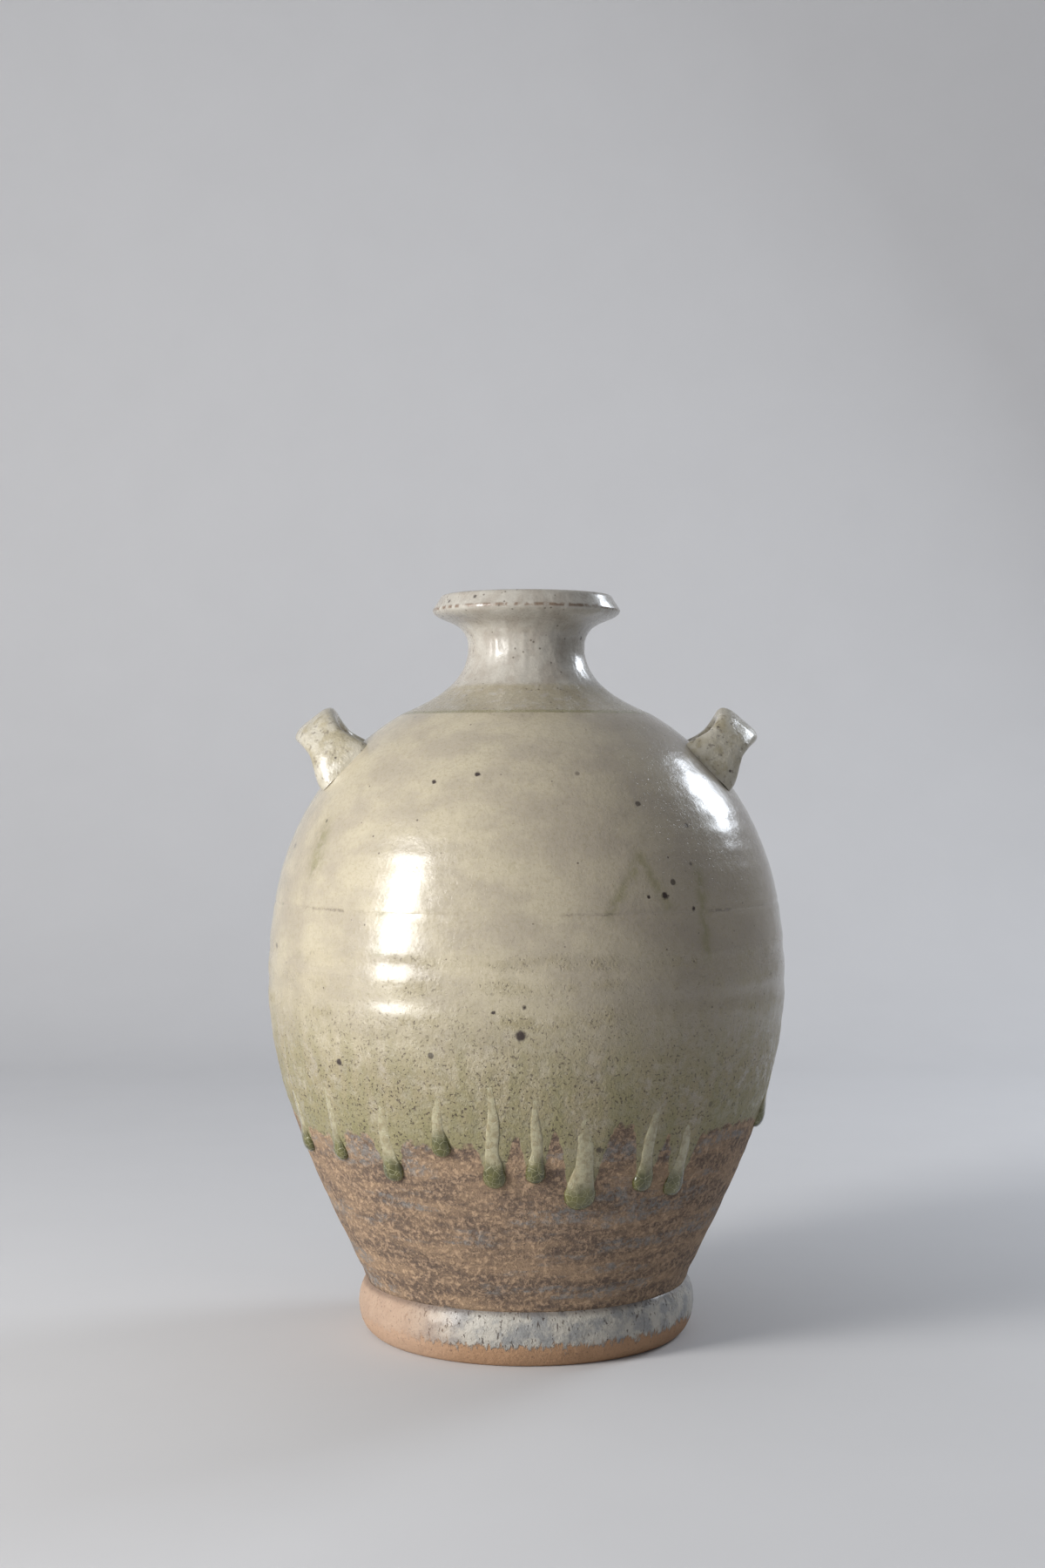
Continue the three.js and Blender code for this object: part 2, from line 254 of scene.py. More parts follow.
def edge_height(azimuth):
    """Height of the glaze's lower edge, which dips at every run and arches between them."""
    wave = 4 * np.sin(np.radians(3 * azimuth + 40)) + 2.5 * np.sin(np.radians(7 * azimuth))
    edge = GLAZE_EDGE_Z + wave
    for place, foot, _, half_width in RUNS:
        width = np.degrees(1.25 * half_width / body_radius(foot))
        dip = np.exp(-(turn_gap(azimuth, place) / width) ** 4)
        edge = edge + (foot + half_width - edge) * dip
    return edge


def lumps(azimuth, z, scale, seed):
    """Smooth noise on the wall, one value for each azimuth and height."""
    out = np.empty(azimuth.shape)
    around = 100 / scale
    for i, (a, h) in enumerate(zip(azimuth.flat, z.flat)):
        turn = math.radians(a)
        place = (around * math.sin(turn), -around * math.cos(turn), h / scale + seed)
        out.flat[i] = noise.noise(Vector(place))
    return out


def wall_relief(azimuth, z):
    """How far the wall stands off the plain outline: throwing rings, glaze thickness and grit."""
    marks = TOOL_MARK * np.sin(z / 1.15 + 0.6 * np.sin(np.radians(azimuth) + z / 20))
    rings = THROWING_RING * np.sin(z / 2.3 + 1.1 * np.sin(z / 13)) * (1 + np.sin(z / 19))
    seam = -SEAM_DEPTH * np.exp(-((z - SEAM_Z) / SEAM_HALF_WIDTH) ** 2)
    glaze = GLAZE_THICKNESS * smooth(z - edge_height(azimuth), -1.5, 2.5) * smooth(z, 40, 60)
    grit = GRIT * lumps(azimuth, z, 2.6, 3.0) * (1 - smooth(z, 118, 165))
    swell = SWELL * lumps(azimuth, z, 30, 9.0)
    fade = smooth(z, 22, 27) * (1 - smooth(z, 240, 250))
    return fade * (marks + rings + seam + glaze + grit + swell - RELIEF_SINK)


def foot_relief(azimuth, z):
    """Grit and slow dents of the foot roll, fading out at its joint and towards the table."""
    fade = smooth(z, 0, 3) * (1 - smooth(z, 19, 21.2))
    return fade * (0.22 * lumps(azimuth, z, 2.4, 1.0) + 0.5 * lumps(azimuth, z, 22, 5.0) - 0.25)


def neck_relief(azimuth, z):
    """Soft dents and fine throwing lines of the neck, none at its seat or on top of the rim."""
    fade = smooth(z, 251, 257) * (1 - smooth(z, 297.5, 299.5))
    return fade * (0.14 * lumps(azimuth, z, 9, 2.0) + 0.05 * np.sin(z / 0.9) - 0.09)


def make_mesh(name, points, faces, smooth_angle=55):
    """A smooth-shaded mesh object from points in millimetres."""
    mesh = bpy.data.meshes.new(name)
    mesh.from_pydata((np.asarray(points) * MM).tolist(), [], faces)
    mesh.validate()
    mesh.shade_smooth()
    mesh.set_sharp_from_angle(angle=math.radians(smooth_angle))
    piece = bpy.data.objects.new(name, mesh)
    bpy.context.scene.collection.objects.link(piece)
    return piece


def store(piece, name, values):
    """Keeps one number for each point of a mesh, for its material to read."""
    layer = piece.data.attributes.new(name, "FLOAT", "POINT")
    layer.data.foreach_set("value", values)


def turned(name, profile, relief, relief_rows):
    """A closed profile turned round the axis; its first rows get the relief."""
    profile = np.array(profile, float)
    poles = profile[:, 0] < ON_AXIS
    azimuth = np.linspace(-180, 180, COLUMNS, endpoint=False)
    points = []
    rows = []
    for k, (r, z) in enumerate(profile):
        if poles[k]:
            rows.append([len(points)] * COLUMNS)
            points.append((0, 0, z))
            continue
        radius = np.full(COLUMNS, r)
        if k < relief_rows:
            radius = radius + relief(azimuth, np.full(COLUMNS, z))
        rows.append(list(range(len(points), len(points) + COLUMNS)))
        for a, rr in zip(np.radians(azimuth), radius):
            points.append((rr * math.sin(a), -rr * math.cos(a), z))
    ends_on_axis = poles[0] and poles[-1]
    last = len(rows) - 1 if ends_on_axis else len(rows)
    faces = []
    for k in range(last):
        low = rows[k]
        high = rows[(k + 1) % len(rows)]
        for i in range(COLUMNS):
            j = (i + 1) % COLUMNS
            loop = [low[i], low[j], high[j], high[i]]
            kept = [v for n, v in enumerate(loop) if v not in loop[:n]]
            if len(kept) > 2:
                faces.append(kept)
    return make_mesh(name, points, faces)


def note_edge(piece):
    """Stores how far each point lies above the glaze edge, and how olive its trail is."""
    count = len(piece.data.vertices)
    flat = np.empty(count * 3)
    piece.data.vertices.foreach_get("co", flat)
    x, y, z = flat.reshape(-1, 3).T / MM
    azimuth = np.degrees(np.arctan2(x, -y))
    trail = np.zeros(count)
    for (a0, z0), (a1, z1), width in OLIVE_TRAILS:
        t = np.clip((z - z0) / (z1 - z0), 0, 1)
        across = np.radians(turn_gap(azimuth, a0 + (a1 - a0) * t)) * body_radius(z)
        past = np.maximum(0, np.maximum(min(z0, z1) - z, z - max(z0, z1)))
        trail = np.maximum(trail, np.exp(-(across ** 2 + past ** 2) / width ** 2))
    store(piece, "above_edge", (z - edge_height(azimuth)).astype(np.float32))
    store(piece, "trail", trail.astype(np.float32))


def build_foot():
    """A rounded roll of clay, with the sloped seat of the body on top and a bore inside."""
    bulge = (FOOT_BULGE_R, FOOT_BULGE_Z)
    below = bezier((63.4, 0.2), (66.2, 1.6), (FOOT_BULGE_R, FOOT_BULGE_Z - 5), bulge, 12)
    above = bezier(bulge, (FOOT_BULGE_R, FOOT_BULGE_Z + 4), (67.8, 19.3), FOOT_JOINT, 12)
    outside = resample(np.concatenate([below, above[1:]]), FINE_STEP)
    hidden = [
        FOOT_JOINT, (RECESS_R, RECESS_HEIGHT), (FOOT_BORE_R, 0.4), (FOOT_BORE_R + 1, 0), (FOOT_CONTACT_R, 0),
    ]
    rest = resample(hidden, 4)[1:]
    return turned("foot_ring_skin", np.concatenate([outside, rest]), foot_relief, len(outside))


def build_lower():
    """The lower thrown section with its wall and floor."""
    outside = resample(BODY[BODY[:, 1] <= SEAM_Z], ROW_STEP)
    outside[-1] = (body_radius(SEAM_Z), SEAM_Z)
    inside = inset(outside, WALL)
    kept = (inside[:, 1] > INNER_WALL_FOOT_Z) & (inside[:, 1] < SEAM_Z - 1)
    inside = resample(inside[kept], INNER_STEP)[::-1]
    low_r = inside[-1, 0]
    underside = [(0, RECESS_HEIGHT), (RECESS_R, RECESS_HEIGHT)]
    seam_inside = (body_radius(SEAM_Z) - WALL, SEAM_Z)
    floor = [(low_r - 8, FLOOR_TOP + 2), (low_r - 18, FLOOR_TOP), (0, FLOOR_TOP)]
    rows = np.concatenate([underside, outside, [seam_inside], inside, floor])
    return turned("lower_body_skin", rows, wall_relief, len(underside) + len(outside))


def build_upper():
    """The shoulder section, open at the seam below and at the neck's seat above."""
    outside = resample(BODY[BODY[:, 1] >= SEAM_Z], ROW_STEP)
    outside[0] = (body_radius(SEAM_Z), SEAM_Z)
    inside = inset(outside, WALL)[::UPPER_INNER_SKIP][::-1]
    return turned("upper_body_skin", np.concatenate([outside, inside]), wall_relief, len(outside))


def build_neck():
    """Neck cove, flared rim with its bevel, and the mouth and throat inside."""
    waist_below = (WAIST[0], WAIST[1] - WAIST_PULL_DOWN)
    waist_above = (WAIST[0], WAIST[1] + WAIST_PULL_UP)
    cove = bezier(NECK_SEAT, along(NECK_SEAT, 180 - SHOULDER_DEG, NECK_COVE_PULL), waist_below, WAIST, 60)
    under_rim = along(RIM_EDGE, 180 + RIM_UNDER_DEG, RIM_UNDER_PULL)
    flare = bezier(WAIST, waist_above, under_rim, RIM_EDGE, 40)[1:]
    lip = [
        (38.5, 294.0), (38.1, 294.5), (35.6, 298.6), (35.0, 299.5), (34.2, HEIGHT), (32.4, HEIGHT),
        (31.4, 299.4),
    ]
    outside = resample(np.concatenate([cove, flare, lip]), FINE_STEP)
    throat_top = (THROAT_R, WAIST[1])
    mouth = bezier(
        (MOUTH_R, HEIGHT - 2), (MOUTH_R - 3, RIM_EDGE[1] - 2), (THROAT_R, waist_above[1]), throat_top, 14)
    seat_inside = along(NECK_SEAT, -90 - SHOULDER_DEG, WALL)
    below_throat = along(seat_inside, 180 - SHOULDER_DEG, 2 * NECK_COVE_PULL)
    throat = bezier(throat_top, (THROAT_R, waist_below[1]), below_throat, seat_inside, 16)[1:]
    rows = np.concatenate([outside, mouth, throat])
    return turned("neck_and_rim_skin", rows, neck_relief, len(outside))


def loft(name, rings):
    """A closed skin over rings of points, with a fan at each end."""
    sides = len(rings[0])
    ends = [np.mean(rings[0], axis=0), np.mean(rings[-1], axis=0)]
    points = np.concatenate([*rings, ends])
    first = len(rings) * sides
    faces = []
    for i in range(sides):
        j = (i + 1) % sides
        faces.append([first, j, i])
        faces.append([first + 1, first - sides + i, first - sides + j])
        for k in range(len(rings) - 1):
            low = k * sides
            high = low + sides
            faces.append([low + i, low + j, high + j, high + i])
    return make_mesh(name, points, faces, 70)


def smooth_path(knots, steps):
    """Catmull-Rom curve through the knots, with its points spread evenly."""
    ends = [2 * knots[0] - knots[1], *knots, 2 * knots[-1] - knots[-2]]
    pieces = 30
    fine = []
    for p0, p1, p2, p3 in zip(ends, ends[1:], ends[2:], ends[3:]):
        for n in range(pieces):
            t = n / pieces
            square = (2 * p0 - 5 * p1 + 4 * p2 - p3) * t ** 2
            cube = (3 * p1 - p0 - 3 * p2 + p3) * t ** 3
            fine.append(0.5 * (2 * p1 + (p2 - p0) * t + square + cube))
    fine.append(knots[-1])
    way = [0.0]
    for a, b in zip(fine, fine[1:]):
        way.append(way[-1] + (b - a).length)
    marks = np.linspace(0, way[-1], steps + 1)
    return [Vector([np.interp(m, way, [p[k] for p in fine]) for k in range(3)]) for m in marks]


def rounded(value, power):
    """Bends a sine or cosine towards a flat-sided oval."""
    return math.copysign(abs(value) ** power, value)


def build_handle(name, side):
    """A strap loop: flat oval section, wider at both roots and at its head."""
    tilt = math.radians(HANDLE_TILT_DEG)
    out = Vector((math.cos(tilt), 0, math.sin(tilt)))
    wide = Vector((out.z, 0, -out.x))
    root_end = -HANDLE_ROOT_DEPTH / HANDLE_REACH
    knots = [(-1, root_end), (-0.85, 0.36), (-0.52, 0.83), (0, 1), (0.52, 0.83), (0.85, 0.36), (1, root_end)]
    seat = Vector(HANDLE_SEAT)
    spots = [seat + Vector((0, HANDLE_HALF_SPAN * y, 0)) + out * (HANDLE_REACH * a) for y, a in knots]
    path = smooth_path(spots, HANDLE_STEPS)
    rings = []
    for k in range(HANDLE_STEPS + 1):
        here = path[k]
        tangent = (path[min(k + 1, HANDLE_STEPS)] - path[max(k - 1, 0)]).normalized()
        thick = tangent.cross(wide).normalized()
        from_head = abs(2 * k / HANDLE_STEPS - 1)
        root = float(smooth(from_head, 0.55, 0.95))
        head = 1 - float(smooth(from_head, 0, 0.55))
        half_width = HANDLE_HALF_WIDTH + HANDLE_ROOT_SPREAD * root + HANDLE_HEAD_SPREAD * head
        half_thickness = HANDLE_HALF_THICKNESS * (1 + 0.55 * root)
        ring = []
        for i in range(HANDLE_SIDES):
            turn = 2 * math.pi * i / HANDLE_SIDES
            u = rounded(math.cos(turn), 0.75)
            v = rounded(math.sin(turn), 0.8)
            dent = 1 - 0.10 * (1 - abs(u)) * (1 - root)
            spot = here + wide * (half_width * u) + thick * (half_thickness * v * dent)
            spot += 0.28 * noise.noise(spot / 6) * thick
            ring.append((side * spot.x, side * spot.y, spot.z))
        rings.append(np.array(ring))
    return loft(name, rings)


def build_run(name, azimuth, foot, length, half_width):
    """A glassy run: a low rib on the wall that ends in a thick rounded bead."""
    turn = math.radians(azimuth)
    outward = np.array((math.sin(turn), -math.cos(turn), 0))
    across = np.array((-math.cos(turn), -math.sin(turn), 0))
    up = np.array((0, 0, 1.0))
    line = resample(BODY[(BODY[:, 1] >= foot) & (BODY[:, 1] < foot + length)], RUN_STEP)
    steps = len(line)
    rings = []
    for k, (r, z) in enumerate(line):
        way = RUN_STEP * k
        chord = line[min(k + 1, steps - 1)] - line[max(k - 1, 0)]
        slope = chord / np.linalg.norm(chord)
        normal = outward * slope[1] - up * slope[0]
        bead = 1
        if way < half_width:
            bead = math.sqrt(max(0.02, 1 - (1 - way / half_width) ** 2))
        fade = float(smooth(way, half_width, 3.6 * half_width))
        tip = 1 - float(smooth(k / steps, 0.5, 1))
        width = half_width * bead * (1 - 0.42 * fade) * (0.35 + 0.65 * tip)
        rise = (BEAD_HEIGHT * bead * (1 - fade) + TAIL_HEIGHT * fade) * tip + 0.02
        wander = 0.5 * math.sin(way / 5 + azimuth)
        centre = outward * (r - RUN_SINK) + up * z
        ring = []
        for i in range(RUN_SIDES):
            angle = 2 * math.pi * i / RUN_SIDES
            lump = 1 + 0.08 * noise.noise(Vector((azimuth, way / 3, 2 * math.cos(angle))))
            aside = (width * math.cos(angle)) * lump + wander * fade
            ring.append(centre + across * aside + normal * (rise * lump * math.sin(angle)))
        rings.append(np.array(ring))
    piece = loft(name, rings)
    store(piece, "above_foot", [v.co.z / MM - foot for v in piece.data.vertices])
    return piece


class Shader:
    """Writes a procedural node material. Sizes in it are in millimetres."""

    def __init__(self, name):
        self.material = bpy.data.materials.new(name)
        self.material.use_nodes = True
        self.tree = self.material.node_tree
        self.tree.nodes.clear()
        self.surface = self.node("ShaderNodeBsdfPrincipled")
        output = self.node("ShaderNodeOutputMaterial")
        self.tree.links.new(self.surface.outputs[0], output.inputs["Surface"])
        place = self.node("ShaderNodeTexCoord")
        scaled = self.node("ShaderNodeVectorMath", operation="SCALE")
        self.tree.links.new(place.outputs["Object"], scaled.inputs[0])
        scaled.inputs["Scale"].default_value = 1 / MM
        self.place = scaled.outputs[0]
        parts = self.node("ShaderNodeSeparateXYZ")
        self.tree.links.new(self.place, parts.inputs[0])
        self.x = parts.outputs["X"]
        self.z = parts.outputs["Z"]

    def node(self, kind, **settings):
        made = self.tree.nodes.new(kind)
        for key, value in settings.items():
            setattr(made, key, value)
        return made

    def put(self, socket, value):
        """Links a socket to another, or sets the socket's own value."""
        if isinstance(value, bpy.types.NodeSocket):
            self.tree.links.new(value, socket)
        elif isinstance(value, tuple) and socket.type == "RGBA":
            socket.default_value = (*value, 1)
        else:
            socket.default_value = value

    def math(self, operation, a, b=0.0):
        made = self.node("ShaderNodeMath", operation=operation)
        self.put(made.inputs[0], a)
        self.put(made.inputs[1], b)
        return made.outputs[0]

    def plus(self, a, b):
        return self.math("ADD", a, b)

    def minus(self, a, b):
        return self.math("SUBTRACT", a, b)

    def times(self, a, b):
        return self.math("MULTIPLY", a, b)

    def away(self, a, b):
        """Distance between two values."""
        return self.math("ABSOLUTE", self.minus(a, b))

    def swing(self, value, amount):
        """Spreads a noise value evenly round zero."""
        return self.times(self.minus(value, 0.5), amount)

    def step(self, value, low, high, to_low=0.0, to_high=1.0):
        """Smooth step from one level to another. With low above high, it falls as the value grows."""
        made = self.node("ShaderNodeMapRange", interpolation_type="SMOOTHSTEP")
        self.put(made.inputs["Value"], value)
        self.put(made.inputs["From Min"], low)
        self.put(made.inputs["From Max"], high)
        self.put(made.inputs["To Min"], to_low)
        self.put(made.inputs["To Max"], to_high)
        return made.outputs[0]

    def noise(self, size, detail=3.0, roughness=0.55, stretch=None):
        made = self.node("ShaderNodeTexNoise")
        source = self.place
        if stretch is not None:
            bent = self.node("ShaderNodeVectorMath", operation="MULTIPLY")
            self.put(bent.inputs[0], source)
            bent.inputs[1].default_value = stretch
            source = bent.outputs[0]
        self.put(made.inputs["Vector"], source)
        made.inputs["Scale"].default_value = 1 / size
        made.inputs["Detail"].default_value = detail
        made.inputs["Roughness"].default_value = roughness
        return made.outputs["Fac"]

    def cells(self, size, feature="F1", output="Distance"):
        made = self.node("ShaderNodeTexVoronoi", feature=feature)
        self.put(made.inputs["Vector"], self.place)
        made.inputs["Scale"].default_value = 1 / size
        return made.outputs[output]

    def blend(self, factor, first, second):
        """Mixes two colours. The colour sockets of a mix node are its inputs 6 and 7."""
        made = self.node("ShaderNodeMix", data_type="RGBA")
        self.put(made.inputs["Factor"], factor)
        self.put(made.inputs[6], first)
        self.put(made.inputs[7], second)
        return made.outputs[2]

    def mix(self, factor, first, second):
        """Mixes two numbers."""
        made = self.node("ShaderNodeMix", data_type="FLOAT")
        self.put(made.inputs[0], factor)
        self.put(made.inputs[2], first)
        self.put(made.inputs[3], second)
        return made.outputs[0]

    def stored(self, name):
        return self.node("ShaderNodeAttribute", attribute_name=name).outputs["Fac"]

    def bump(self, height, distance):
        made = self.node("ShaderNodeBump")
        self.put(made.inputs["Height"], height)
        made.inputs["Distance"].default_value = distance * MM
        made.inputs["Strength"].default_value = 1.0
        self.put(self.surface.inputs["Normal"], made.outputs[0])

    def finish(self, colour, roughness, coat=0.0):
        self.put(self.surface.inputs["Base Color"], colour)
        self.put(self.surface.inputs["Roughness"], roughness)
        self.put(self.surface.inputs["Coat Weight"], coat)
        self.surface.inputs["Coat Roughness"].default_value = COAT_ROUGHNESS
        return self.material


def speckle(s, colour, size, amount, tone=IRON):
    """Small dark specks, each in a cell of its own; amount is the share of cells that have one."""
    near = s.cells(size)
    choice = s.cells(size, output="Color")
    pick = s.step(choice, 1 - amount - 0.05, 1 - amount)
    spot = s.times(s.step(near, 0.22, 0.12), pick)
    return s.blend(s.times(spot, 0.8), colour, tone)


def spot_mask(s, azimuth, height, radius):
    """One round spot on the body, with an uneven edge."""
    turn = math.radians(azimuth)
    r = float(body_radius(height))
    made = s.node("ShaderNodeVectorMath", operation="DISTANCE")
    s.put(made.inputs[0], s.place)
    made.inputs[1].default_value = (r * math.sin(turn), -r * math.cos(turn), height)
    away = s.plus(made.outputs["Value"], s.swing(s.noise(1.6, 2), 1.4))
    return s.step(away, radius, radius * 0.45)


def clay_colour(s):
    """Bare gritty clay: tan ground, brown grit and grey-blue wash streaks."""
    grit = s.step(s.noise(2.1, 5, 0.78), 0.42, 0.60)
    broad = s.step(s.noise(20, 4, 0.65, (0.7, 0.7, 2.6)), 0.36, 0.60)
    cover = s.plus(s.times(broad, 0.62), 0.30)
    tone = s.blend(s.times(grit, cover), TAN_CLAY, DARK_CLAY)
    tone = s.blend(s.times(broad, 0.35), tone, BROWN_CLAY)
    wash = s.step(s.noise(30, 4, 0.6, (0.6, 0.6, 3.4)), 0.53, 0.62)
    wash = s.times(wash, s.step(s.noise(2.6, 4, 0.7), 0.40, 0.60))
    return s.blend(s.times(wash, 0.7), tone, WASH_GREY), grit


def sandy_zones(s):
    """The low matte zone of the glaze, and that zone with the bands above it, broken up."""
    warped = s.plus(s.z, s.swing(s.noise(26, 5, 0.7), 12))
    low_zone = s.step(warped, 156, 104)
    sand = low_zone
    for height, half, level in SANDY_BANDS:
        patch = s.step(s.noise(34, 4, 0.7, (1, 1, 0.5)), 0.36, 0.62)
        band = s.times(s.times(s.step(s.away(warped, height), half, 0), level), patch)
        sand = s.math("MAXIMUM", sand, band)
    return low_zone, s.times(sand, s.step(s.noise(5, 5, 0.8), 0.32, 0.56))


def body_material():
    """Cream ash glaze, olive and sandy lower down, over bare clay below the glaze edge."""
    s = Shader("body_glaze_look")
    fine = s.noise(1.3, 3, 0.6)
    above = s.plus(s.stored("above_edge"), s.swing(s.noise(5, 4, 0.65), 13))
    glazed = s.step(above, -1.0, 1.6)
    clay, grit = clay_colour(s)
    low_zone, sand = sandy_zones(s)

    # Cream, greyer in clouds, and greyer towards the right as painted shade on the side turned away from the
    # window light.
    mottle = s.step(s.noise(24, 4, 0.6, (1, 1, 1.6)), 0.36, 0.66)
    cream = s.blend(s.times(mottle, 0.5), CREAM, MAUVE_GREY)
    cream = s.blend(s.times(s.step(s.x, -30, 85), 0.7), cream, MAUVE_GREY)

    # Sand, then olive streaks, the green rim of the glaze and the olive trails.
    glaze = s.blend(s.times(sand, 0.9), cream, SAND_OLIVE)
    streak = s.step(s.noise(5, 4, 0.6, (1, 1, 0.10)), 0.40, 0.66)
    glaze = s.blend(s.times(streak, s.times(low_zone, 0.45)), glaze, OLIVE)
    glaze = s.blend(s.times(s.step(above, 26, 1), 0.55), glaze, OLIVE)
    trail = s.times(s.stored("trail"), s.step(s.noise(4, 4, 0.7), 0.3, 0.6))
    glaze = s.blend(s.times(trail, 0.62), glaze, OLIVE)

    # Dark broken line in the seam's groove, crackle, specks, pits and iron spots.
    ring = s.step(s.away(s.z, SEAM_Z), 1.0, 0.1)
    broken = s.times(s.step(s.noise(14, 2, 0.5), 0.46, 0.60), s.step(s.noise(1.8, 3, 0.7), 0.38, 0.6))
    glaze = s.blend(s.times(s.times(ring, broken), 0.5), glaze, DARK_CLAY)
    crackle = s.step(s.cells(3.4, "DISTANCE_TO_EDGE"), 0.035, 0.0)
    glaze = s.blend(s.times(crackle, 0.16), glaze, OLIVE)
    glaze = s.blend(s.times(s.step(fine, 0.48, 0.70), 0.30), glaze, SAND_OLIVE)
    glaze = speckle(s, glaze, 7.0, 0.10)
    glaze = speckle(s, glaze, 2.4, 0.12, DARK_CLAY)
    pits = s.times(s.step(s.noise(1.1, 2, 0.6), 0.60, 0.68), s.plus(s.times(sand, 0.8), 0.08))
    glaze = s.blend(pits, glaze, DARK_CLAY)
    for spot in IRON_SPOTS:
        glaze = s.blend(spot_mask(s, *spot), glaze, IRON)

    roughness = s.mix(glazed, 0.85, s.mix(sand, 0.26, 0.62))
    grain = s.times(fine, s.mix(glazed, 1.0, s.mix(sand, 0.16, 0.8)))
    relief = s.plus(grain, s.times(pits, -0.7))
    relief = s.plus(relief, s.times(grit, s.mix(glazed, -0.45, 0.0)))
    relief = s.plus(relief, s.times(s.noise(7, 2, 0.5), 0.5))
    s.bump(relief, 0.6)
    coat = s.times(glazed, s.mix(sand, 0.55, 0.1))
    return s.finish(s.blend(glazed, clay, glaze), roughness, coat)


def neck_material():
    """Speckled grey-white glaze, with a darker olive band at the foot of the neck that is a painted
    reflection of the dark room in the glossy cove, and a brown rim.
    """
    s = Shader("neck_glaze_look")
    cloud = s.step(s.noise(8, 4, 0.6), 0.36, 0.66)
    colour = s.blend(s.times(cloud, 0.6), GLAZE_WHITE, MAUVE_GREY)
    # Painted reflection: the darker olive band round the foot of the neck stands for the dark room reflected
    # in the glossy cove.
    band = s.times(s.step(s.z, 263.5, 261.5), s.step(s.noise(3, 3, 0.6), 0.25, 0.5))
    colour = s.blend(s.times(band, 0.55), colour, SAND_OLIVE)
    line = s.step(s.away(s.z, NECK_SEAT[1] + 0.5), 1.0, 0.2)
    colour = s.blend(s.times(line, 0.55), colour, OLIVE)
    worn_edge = s.times(s.step(s.away(s.z, RIM_EDGE[1] + 0.5), 1.1, 0.2), s.step(s.noise(3), 0.4, 0.55))
    colour = s.blend(s.times(worn_edge, 0.85), colour, RIM_BROWN)
    colour = speckle(s, colour, 2.6, 0.30, NECK_SPECK)
    colour = speckle(s, colour, 5.0, 0.16)
    fine = s.noise(1.2, 3, 0.6)
    s.bump(s.plus(s.times(fine, 0.3), s.times(s.noise(5, 2), 0.7)), 0.35)
    return s.finish(colour, s.step(fine, 0.3, 0.7, 0.22, 0.38), 0.5)


def handle_material():
    """Glossy grey glaze with dark grit and specks."""
    s = Shader("handle_glaze_look")
    cloud = s.step(s.noise(7, 4, 0.6), 0.38, 0.64)
    colour = s.blend(s.times(cloud, 0.7), HANDLE_GREY, SAND_OLIVE)
    grit = s.step(s.noise(2.2, 3, 0.6), 0.55, 0.68)
    colour = s.blend(s.times(grit, 0.5), colour, DARK_CLAY)
    colour = speckle(s, colour, 3.4, 0.22)
    s.bump(s.noise(2.4, 4, 0.6), 0.5)
    return s.finish(colour, s.step(cloud, 0, 1, 0.25, 0.42), 0.5)


def foot_material():
    """Bare clay, pinker at the left, under a torn grey-white coat on the upper half."""
    s = Shader("foot_clay_look")
    left = s.step(s.x, -18, -52)
    tan = s.blend(left, ORANGE_CLAY, PINK_CLAY)
    grit = s.step(s.noise(1.2, 3, 0.6), 0.58, 0.70)
    clay = s.blend(s.times(grit, 0.55), tan, DARK_CLAY)
    ragged = s.swing(s.noise(3.2, 4, 0.7, (1.4, 1.4, 0.5)), 15)
    coat = s.step(s.plus(s.z, ragged), 7.5, 9.5)
    coat = s.times(coat, s.minus(1.0, s.times(left, 0.85)))
    white = s.blend(s.step(s.noise(7, 3, 0.6), 0.4, 0.62), GLAZE_WHITE, WASH_GREY)
    tears = s.step(s.noise(1.7, 3, 0.7, (1.5, 1.5, 0.55)), 0.60, 0.66)
    white = s.blend(s.times(tears, 0.85), white, DARK_CLAY)
    # Painted shade: the clay is darker in the crease where the foot ring meets the body above it.
    crease_shade = s.step(s.z, 18.6, 21.0)
    colour = s.blend(s.times(crease_shade, 0.5), s.blend(coat, clay, white), DARK_CLAY)
    relief = s.plus(s.times(s.noise(1.3, 4, 0.65), 0.9), s.times(coat, 0.9))
    relief = s.plus(relief, s.times(tears, s.times(coat, -1.0)))
    s.bump(relief, 0.5)
    return s.finish(colour, s.mix(coat, 0.85, 0.36), s.times(coat, 0.3))


def bead_material():
    """Deep green crackled glass in the bead, the paler body glaze in the tail above it."""
    s = Shader("glass_bead_look")
    depth = s.step(s.noise(6, 3, 0.6), 0.35, 0.65)
    colour = s.blend(depth, BEAD_GREEN, BEAD_AMBER)
    crack = s.step(s.cells(2.6, "DISTANCE_TO_EDGE"), 0.05, 0.0)
    colour = s.blend(s.times(crack, 0.6), colour, CRACK_PALE)
    tail = s.step(s.plus(s.stored("above_foot"), s.times(s.noise(4, 3), 6)), 9, 17)
    glaze = s.blend(s.step(s.noise(2.4, 3, 0.6), 0.4, 0.65), TAIL_GLAZE, SAND_OLIVE)
    colour = s.blend(s.times(tail, 0.95), colour, glaze)
    s.bump(s.plus(s.noise(3, 2), s.times(crack, -0.25)), 0.3)
    return s.finish(colour, 0.12, 0.8)


def paper_material():
    """Matte pale paper of the sweep."""
    s = Shader("paper_sweep")
    tone = s.blend(s.times(s.noise(60, 3, 0.5), 0.06), PAPER, PAPER_SHADE)
    return s.finish(tone, 0.75)


def set_piece(piece, material, node):
    """Gives a piece its material, hangs it on the root body and hides the solids of the node that it stands
    for.
    """
    piece.data.materials.append(material)
    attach(piece, "root")
    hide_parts(node)


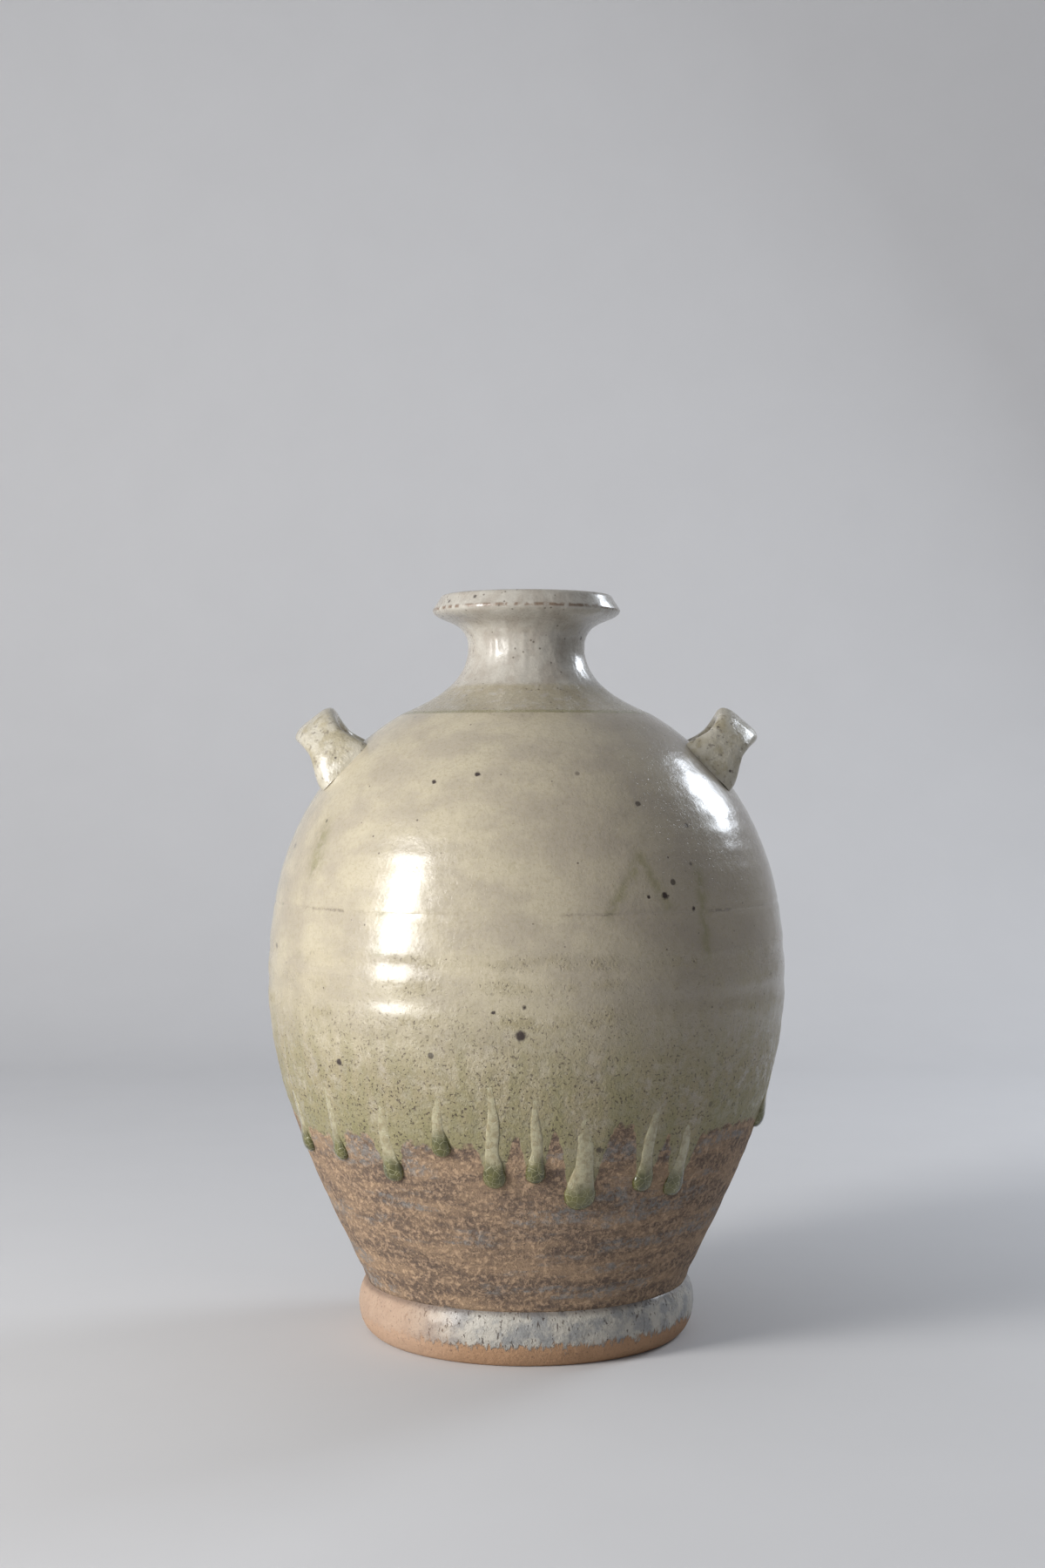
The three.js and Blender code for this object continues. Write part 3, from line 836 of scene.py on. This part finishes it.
def build_bottle():
    body = body_material()
    for piece, node in ((build_lower(), "lower_body"), (build_upper(), "upper_body")):
        note_edge(piece)
        set_piece(piece, body, node)
    set_piece(build_neck(), neck_material(), "neck_and_rim")
    set_piece(build_foot(), foot_material(), "foot_ring")
    handle = handle_material()
    set_piece(build_handle("right_handle_skin", 1), handle, "right_handle")
    set_piece(build_handle("left_handle_skin", -1), handle, "left_handle")
    bead = bead_material()
    for i, run in enumerate(RUNS, 1):
        set_piece(build_run(f"glass_run_{i:02d}", *run), bead, f"glaze_run_{i:02d}")


def build_floor():
    """A pale sweep: flat floor that curves up into the backdrop."""
    profile = [(SWEEP_FRONT, 0.0), (SWEEP_BEND, 0.0)]
    for t in np.linspace(0.1, math.pi / 2, 14):
        profile.append((SWEEP_BEND + SWEEP_RADIUS * math.sin(t), SWEEP_RADIUS * (1 - math.cos(t))))
    profile.append((SWEEP_BEND + SWEEP_RADIUS, SWEEP_TOP))
    points = [(x, y, z) for y, z in profile for x in (-SWEEP_HALF_WIDTH, SWEEP_HALF_WIDTH)]
    faces = [[2 * k, 2 * k + 1, 2 * k + 3, 2 * k + 2] for k in range(len(profile) - 1)]
    floor = make_mesh("floor_sweep", np.array(points) / MM, faces)
    floor.data.materials.append(paper_material())


def add_light(name, place, size, power, colour):
    lamp = bpy.data.lights.new(name, "AREA")
    lamp.shape = "RECTANGLE"
    lamp.size = size[0]
    lamp.size_y = size[1]
    lamp.energy = power
    lamp.color = colour
    light = bpy.data.objects.new(name, lamp)
    light.location = place
    light.rotation_euler = (Vector(LIGHT_AIM) - Vector(place)).to_track_quat("-Z", "Y").to_euler()
    bpy.context.scene.collection.objects.link(light)


def add_room():
    """Soft light from all round, brighter from the left, with an even level where it is seen."""
    world = bpy.data.worlds.new("room")
    world.use_nodes = True
    nodes = world.node_tree.nodes
    links = world.node_tree.links
    back = nodes["Background"]
    back.inputs["Color"].default_value = ROOM_COLOUR
    direction = nodes.new("ShaderNodeTexCoord")
    parts = nodes.new("ShaderNodeSeparateXYZ")
    level = nodes.new("ShaderNodeMapRange")
    links.new(direction.outputs["Generated"], parts.inputs[0])
    links.new(parts.outputs["X"], level.inputs["Value"])
    level.inputs["From Min"].default_value = ROOM_SPREAD[0]
    level.inputs["From Max"].default_value = ROOM_SPREAD[1]
    level.inputs["To Min"].default_value = ROOM_LEVEL_LEFT
    level.inputs["To Max"].default_value = ROOM_LEVEL_RIGHT
    sight = nodes.new("ShaderNodeLightPath")
    seen = nodes.new("ShaderNodeMath")
    seen.operation = "MULTIPLY"
    seen.inputs[1].default_value = SEEN_LEVEL
    links.new(sight.outputs["Is Camera Ray"], seen.inputs[0])
    brighter = nodes.new("ShaderNodeMath")
    brighter.operation = "MAXIMUM"
    links.new(level.outputs[0], brighter.inputs[0])
    links.new(seen.outputs[0], brighter.inputs[1])
    links.new(brighter.outputs[0], back.inputs["Strength"])
    bpy.context.scene.world = world


def add_camera():
    lens = bpy.data.cameras.new("photo_camera")
    lens.lens = LENS_MM
    lens.sensor_fit = "VERTICAL"
    lens.sensor_height = SENSOR_HEIGHT_MM
    camera = bpy.data.objects.new("photo_camera", lens)
    camera.location = CAMERA_PLACE
    camera.rotation_euler = (math.pi / 2 - CAMERA_PITCH, 0, 0)
    bpy.context.scene.collection.objects.link(camera)
    bpy.context.scene.camera = camera


build_bottle()
build_floor()
add_light("window_key", KEY_PLACE, KEY_SIZE, KEY_POWER, KEY_COLOUR)
add_light("sky_fill", FILL_PLACE, FILL_SIZE, FILL_POWER, FILL_COLOUR)
add_room()
add_camera()
bpy.context.scene.view_settings.view_transform = "Standard"
